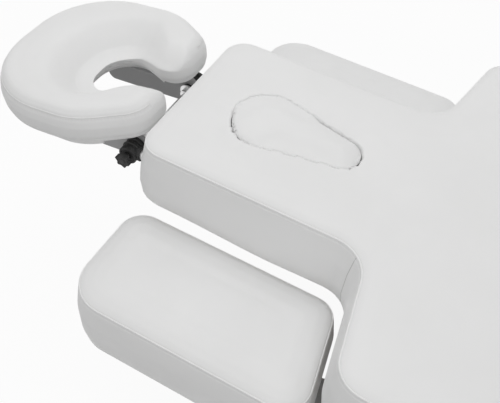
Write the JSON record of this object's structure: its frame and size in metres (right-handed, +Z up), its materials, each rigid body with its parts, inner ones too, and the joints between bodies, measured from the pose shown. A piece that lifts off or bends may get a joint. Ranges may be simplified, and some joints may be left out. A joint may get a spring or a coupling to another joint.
{
  "type": "electric treatment table",
  "caption": "Padded height-adjustable treatment table with tilting backrest and leg rest, lowered armrests, face hole plug and horseshoe face cradle.",
  "frame": {"origin": "on the floor, under the middle of the object's bounding box", "axes": "+X from the head end to the foot end, +Y to the far side, +Z up"},
  "size_m": [2.2168, 0.768, 0.648],
  "materials": {
    "bare_steel": "satin steel",
    "black_plastic": "matt black moulding",
    "column": "satin anodised",
    "frame_steel": "light grey powder coat",
    "nylon": "natural nylon",
    "plywood": "birch plywood",
    "rubber": "black rubber",
    "sheet_steel": "grey painted sheet",
    "upholstery": "smooth white synthetic leather"
  },
  "bodies": {
    "base": {"base_foot_head": "frame_steel", "base_foot_foot": "frame_steel", "base_spine": "frame_steel", "base_pads": "rubber", "column_outer_head": "column", "column_outer_foot": "column", "column_motors": "bare_steel", "column_spindles": "bare_steel"},
    "middle_head": {"column_middle_head": "column"},
    "middle_foot": {"column_middle_foot": "column"},
    "lift": {"lift_frame": "frame_steel", "column_inner_head": "column", "column_inner_foot": "column", "column_push_tubes": "bare_steel", "seat_board": "plywood", "seat_cushion": "upholstery", "hinge_pins": "bare_steel", "rest_bumpers": "rubber", "drive_housing": "black_plastic", "drive_motors": "bare_steel", "control_box": "black_plastic", "power_inlet": "black_plastic"},
    "back_drive": {"back_push_block": "nylon"},
    "leg_drive": {"leg_push_block": "nylon"},
    "backrest": {"back_frame": "frame_steel", "back_lever_tip": "nylon", "back_board": "plywood", "back_cushion": "upholstery", "head_rail": "plywood", "post_sockets": "bare_steel", "armrest_frame_pins": "bare_steel"},
    "leg_rest": {"leg_frame": "frame_steel", "leg_board": "plywood", "leg_cushion": "upholstery", "leg_lever_tip": "nylon"},
    "plug": {"face_plug": "upholstery"},
    "cradle_mount": {"cradle_posts": "bare_steel", "clutch_housings": "black_plastic"},
    "cradle": {"cradle_arm_near": "sheet_steel", "cradle_arm_far": "sheet_steel", "cradle_board": "plywood", "cradle_cushion": "upholstery", "cradle_tie_rod": "bare_steel", "cradle_spacers": "black_plastic", "cradle_nuts": "bare_steel"},
    "cradle_knob_grip": {"cradle_knob": "black_plastic"},
    "upper_link_near": {"armrest_upper_link_near": "frame_steel"},
    "lower_link_near": {"armrest_lower_link_near": "frame_steel"},
    "armrest_near": {"armrest_carrier_near": "frame_steel", "armrest_board_near": "plywood", "armrest_cushion_near": "upholstery"},
    "armrest_knob_grip_near": {"armrest_knob_near": "black_plastic"},
    "upper_link_far": {"armrest_upper_link_far": "frame_steel"},
    "lower_link_far": {"armrest_lower_link_far": "frame_steel"},
    "armrest_far": {"armrest_carrier_far": "frame_steel", "armrest_board_far": "plywood", "armrest_cushion_far": "upholstery"},
    "armrest_knob_grip_far": {"armrest_knob_far": "black_plastic"}
  },
  "joints": [
    {"name": "table_lift", "type": "slide", "parent": "base", "child": "lift", "axis": [0, 0, 1], "range_m": [0, 0.25]},
    {"name": "middle_head_lift", "type": "slide", "parent": "base", "child": "middle_head", "axis": [0, 0, 1], "range_m": [0, 0.125]},
    {"name": "middle_foot_lift", "type": "slide", "parent": "base", "child": "middle_foot", "axis": [0, 0, 1], "range_m": [0, 0.125]},
    {"name": "backrest_tilt", "type": "hinge", "parent": "lift", "child": "backrest", "pos_m": [0.05441, 0, 0.625], "axis": [0, 1, 0], "range_deg": [0, 65]},
    {"name": "back_push", "type": "slide", "parent": "lift", "child": "back_drive", "axis": [-1, 0, 0], "range_m": [0, 0.23954]},
    {"name": "leg_tilt", "type": "hinge", "parent": "lift", "child": "leg_rest", "pos_m": [0.50041, 0, 0.625], "axis": [0, -1, 0], "range_deg": [0, 35]},
    {"name": "leg_push", "type": "slide", "parent": "lift", "child": "leg_drive", "axis": [1, 0, 0], "range_m": [0, 0.13282]},
    {"name": "plug_out", "type": "slide", "parent": "backrest", "child": "plug", "axis": [0, 0, 1], "range_m": [0, 0.12]},
    {"name": "cradle_pull", "type": "slide", "parent": "backrest", "child": "cradle_mount", "axis": [-1, 0, 0], "range_m": [0, 0.14]},
    {"name": "cradle_tilt", "type": "hinge", "parent": "cradle_mount", "child": "cradle", "pos_m": [-0.80759, 0, 0.538], "axis": [0, 1, 0], "range_deg": [-33, 11]},
    {"name": "cradle_knob_turn", "type": "hinge", "parent": "cradle", "child": "cradle_knob_grip", "pos_m": [-0.80759, 0, 0.538], "axis": [0, 1, 0], "continuous": true},
    {"name": "armrest_swing_near", "type": "hinge", "parent": "backrest", "child": "upper_link_near", "pos_m": [-0.30359, -0.262, 0.362], "axis": [0, 1, 0], "range_deg": [0, 49.67]},
    {"name": "armrest_level_near", "type": "hinge", "parent": "upper_link_near", "child": "armrest_near", "pos_m": [-0.43972, -0.262, 0.299], "axis": [0, 1, 0], "range_deg": [-49.67, 0]},
    {"name": "lower_link_swing_near", "type": "hinge", "parent": "backrest", "child": "lower_link_near", "pos_m": [-0.30359, -0.262, 0.326], "axis": [0, 1, 0], "range_deg": [0, 49.67]},
    {"name": "armrest_knob_turn_near", "type": "hinge", "parent": "backrest", "child": "armrest_knob_grip_near", "pos_m": [-0.30359, -0.262, 0.362], "axis": [0, 1, 0], "continuous": true},
    {"name": "armrest_swing_far", "type": "hinge", "parent": "backrest", "child": "upper_link_far", "pos_m": [-0.30359, 0.262, 0.362], "axis": [0, 1, 0], "range_deg": [0, 49.67]},
    {"name": "armrest_level_far", "type": "hinge", "parent": "upper_link_far", "child": "armrest_far", "pos_m": [-0.43972, 0.262, 0.299], "axis": [0, 1, 0], "range_deg": [-49.67, 0]},
    {"name": "lower_link_swing_far", "type": "hinge", "parent": "backrest", "child": "lower_link_far", "pos_m": [-0.30359, 0.262, 0.326], "axis": [0, 1, 0], "range_deg": [0, 49.67]},
    {"name": "armrest_knob_turn_far", "type": "hinge", "parent": "backrest", "child": "armrest_knob_grip_far", "pos_m": [-0.30359, 0.262, 0.362], "axis": [0, 1, 0], "continuous": true}
  ],
  "couplings": [
    {"joint": "middle_head_lift", "follows": "table_lift", "ratio": 0.5},
    {"joint": "middle_foot_lift", "follows": "table_lift", "ratio": 0.5},
    {"joint": "back_push", "follows": "backrest_tilt", "m_per_rad": 0.21115},
    {"joint": "leg_push", "follows": "leg_tilt", "m_per_rad": 0.21743},
    {"joint": "armrest_level_near", "follows": "armrest_swing_near", "ratio": -1},
    {"joint": "lower_link_swing_near", "follows": "armrest_swing_near", "ratio": 1},
    {"joint": "armrest_level_far", "follows": "armrest_swing_far", "ratio": -1},
    {"joint": "lower_link_swing_far", "follows": "armrest_swing_far", "ratio": 1}
  ]
}
